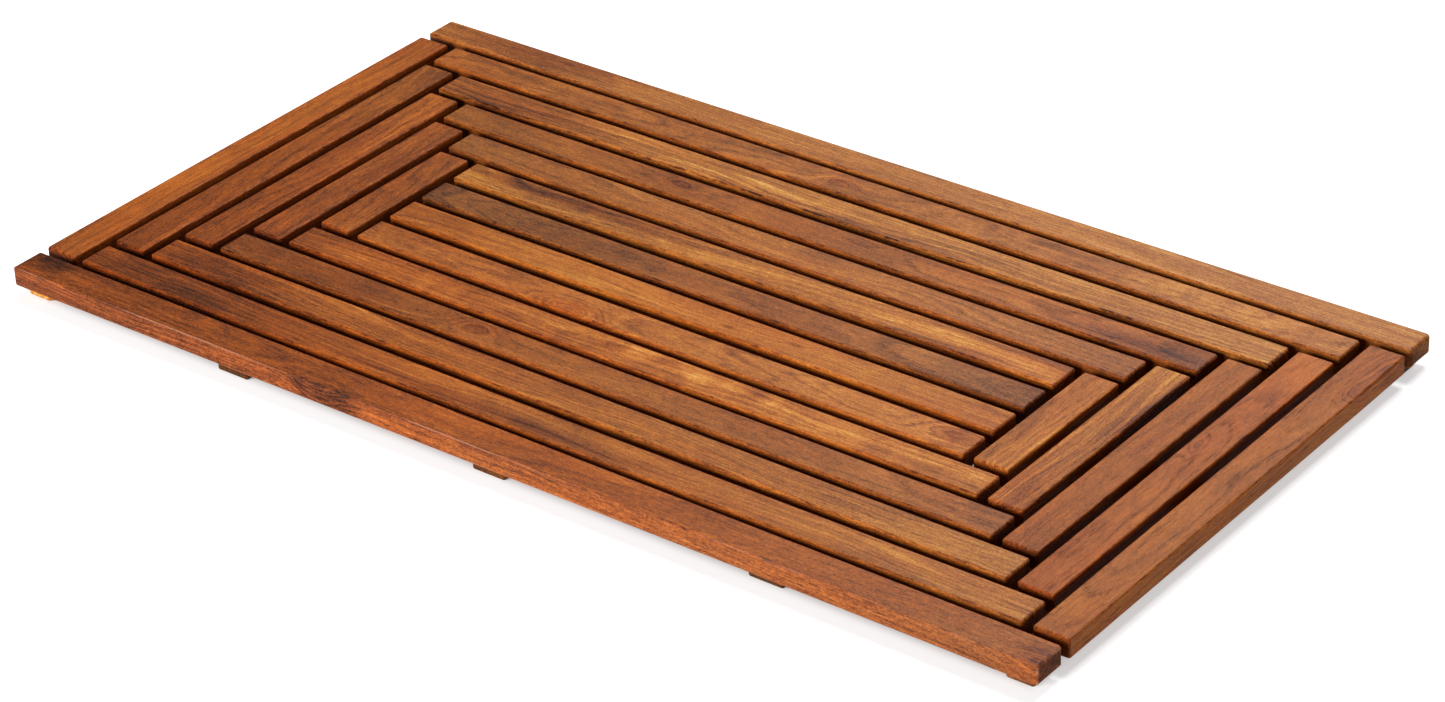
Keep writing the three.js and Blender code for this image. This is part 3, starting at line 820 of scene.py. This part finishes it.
extra_at = {}
for name, look in BATTEN_LOOK.items():
    lo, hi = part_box(name)
    kind = name.split("_")[0]
    if kind == "corner":
        a, b = np.array(lo) * 1000, np.array(hi) * 1000
        sx, sy = (1 if a[0] > 0 else -1), (1 if a[1] > 0 else -1)
        ax = b[0] if sx > 0 else a[0]
        ay = b[1] if sy > 0 else a[1]
        width = 29.0
        cut = width / math.sqrt(2)
        run = (b[0] - a[0]) - cut / 2 - .95
        shape = [(0, 0), (-cut, 0), (-run - cut / 2, -run + cut / 2), (-run + cut / 2, -run - cut / 2), (0, -cut)]
        shape = [(ax + sx * p, ay + sy * q) for p, q in shape]
        if sx * sy < 0:
            shape = shape[::-1]
        ob = outline_board(name + "_board", shape, a[2], b[2], BATTEN_EDGE, 2.3)
        turn = math.atan2(sy, sx)
        centre = np.array([ax - sx * run / 2, ay - sy * run / 2, (a[2] + b[2]) / 2]) / 1000
        length = run * math.sqrt(2)
    else:
        turn = math.pi / 2 if hi[1] - lo[1] > hi[0] - lo[0] else 0
        ob, centre, length = plank(name + "_board", lo, hi, BATTEN_EDGE, turn, bend=.25)
    own = cad_screws(name)
    every = crossings(name, lo, hi)
    extra = [q for q in every if all(math.hypot(q[0] - x, q[1] - y) > 9 for _, x, y in own)]
    bored(ob, [(x, y) for _, x, y in own] + extra)
    batten_normals(ob, lo[2], hi[2], BATTEN_EDGE)
    ob.data.materials.clear()
    full = dict(dict(ring=3.2, pith=(18 + 30 * number_for(name, 7), -30, .01, .012), line=.5, dark=.3, gold=.2, flame=.15), **look)
    ob.data.materials.append(teak(name, centre, turn, length, full, oil_glow_amount=.5, dull=.16))
    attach(ob, "root")
    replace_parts(ob, name)

    # one piece for each screw that the solids have, and one for the rest of the row
    def screws(piece, spots):
        count = len(screw_mesh.vertices)
        co = np.empty(count * 3, np.float32)
        screw_mesh.vertices.foreach_get("co", co)
        co = co.reshape(-1, 3)
        mesh = None
        import bmesh
        bm = bmesh.new()
        for i, (x, y) in enumerate(spots):
            copy = screw_mesh.copy()
            a = 2 * math.pi * number_for(piece, i)
            copy.transform(Matrix.Translation(Vector((x / 1000, y / 1000, SCREW_Z / 1000))) @ Matrix.Rotation(a, 4, "Z") @ Matrix.Scale(.001, 4))
            bm.from_mesh(copy)
            bpy.data.meshes.remove(copy)
        mesh = bpy.data.meshes.new(piece)
        bm.to_mesh(mesh)
        bm.free()
        mesh.materials.append(steel_m)
        o = bpy.data.objects.new(piece, mesh)
        bpy.context.scene.collection.objects.link(o)
        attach(o, "root")
        return o

    for n, x, y in own:
        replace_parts(screws("steel_" + n, [(x, y)]), n)
    if extra:
        screws("steel_screws_" + name.replace("_batten", "") + "_others", extra)

# ------------------------------------------------------------------ stage
lo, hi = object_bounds()
floor_mesh = bpy.data.meshes.new("floor")
S = 9.0
floor_mesh.from_pydata([(-S, -S, 0), (S, -S, 0), (S, S, 0), (-S, S, 0)], [], [(0, 1, 2, 3)])
floor = bpy.data.objects.new("floor", floor_mesh)
bpy.context.scene.collection.objects.link(floor)
floor.location.z = -.0002
fm = bpy.data.materials.new("pale_floor")
fg = Graph(fm)
fb = fg.node("ShaderNodeBsdfPrincipled")
fg.tree.links.new(fb.outputs[0], fg.node("ShaderNodeOutputMaterial").inputs[0])
fb.inputs["Base Color"].default_value = (.56, .56, .56, 1)
fb.inputs["Roughness"].default_value = .9
fb.inputs["Specular IOR Level"].default_value = .1
fb.inputs["Emission Color"].default_value = (1, 1, 1, 1)
# a faint glow lifts the contact shadow; there is none under the mat itself
fx, fy, fz = fg.split(fg.node("ShaderNodeTexCoord").outputs["Object"])
out_x = fg.mul(fg.math("ABSOLUTE", fx), 1 / hi[0])
out_y = fg.mul(fg.math("ABSOLUTE", fy), 1 / hi[1])
glow = fg.step(fg.math("MAXIMUM", out_x, out_y), .92, .99, 0.0, .55)
# far from the mat the glow grows, so the floor stays pale beyond the reach of the lamps
far = fg.math("SQRT", fg.add(fg.mul(fx, fx), fg.mul(fy, fy)))
fg.put(fb.inputs["Emission Strength"], fg.add(glow, fg.step(far, 1.0, 3.5, 0.0, .30)))
floor_mesh.materials.append(fm)


def softbox(name, azimuth, elevation, distance, size, power, colour=(1, 1, 1), target=(0, 0, .02)):
    data = bpy.data.lights.new(name, "AREA")
    data.shape = "RECTANGLE"
    data.size, data.size_y = size
    data.energy = power
    data.color = colour
    ob = bpy.data.objects.new(name, data)
    bpy.context.scene.collection.objects.link(ob)
    a, e = math.radians(azimuth), math.radians(elevation)
    back = Vector((math.cos(a) * math.cos(e), math.sin(a) * math.cos(e), math.sin(e)))
    ob.location = Vector(target) + back * distance
    ob.rotation_mode = "QUATERNION"
    ob.rotation_quaternion = back.to_track_quat("Z", "Y")
    ob.visible_camera = False
    return ob


softbox("overhead", 92, 66, 3.2, (1.5, 1.4), 126)
softbox("front_strip", -101, 15.5, 3.4, (2.4, 1.4), 224)
softbox("back_panel", 104, 26, 3.6, (2.2, 1.3), 30)

world = bpy.data.worlds.new("studio")
bpy.context.scene.world = world
world.use_nodes = True
bg = world.node_tree.nodes["Background"]
bg.inputs["Color"].default_value = (1, 1, 1, 1)
bg.inputs["Strength"].default_value = .14

scene = bpy.context.scene
scene.view_settings.view_transform = "Standard"
scene.view_settings.look = "None"
scene.view_settings.exposure = 0.0

# ------------------------------------------------------------------ camera
cam_data = bpy.data.cameras.new("camera")
cam = bpy.data.objects.new("camera", cam_data)
scene.collection.objects.link(cam)
scene.camera = cam
cam_data.sensor_fit = "HORIZONTAL"
cam_data.sensor_width = 36.0
cam_data.lens = 104.13
cam_data.clip_start, cam_data.clip_end = .05, 60
right = Vector((0.79514407, 0.60565513, -0.03045919))
down = Vector((0.28565730, -0.41838981, -0.86217741))
ahead = Vector((-0.53492599, 0.67685436, -0.50568998))
m = Matrix((right, -down, -ahead)).transposed().to_4x4()
m.translation = Vector((1.6199, -2.0307, 1.5037))
cam.matrix_world = m
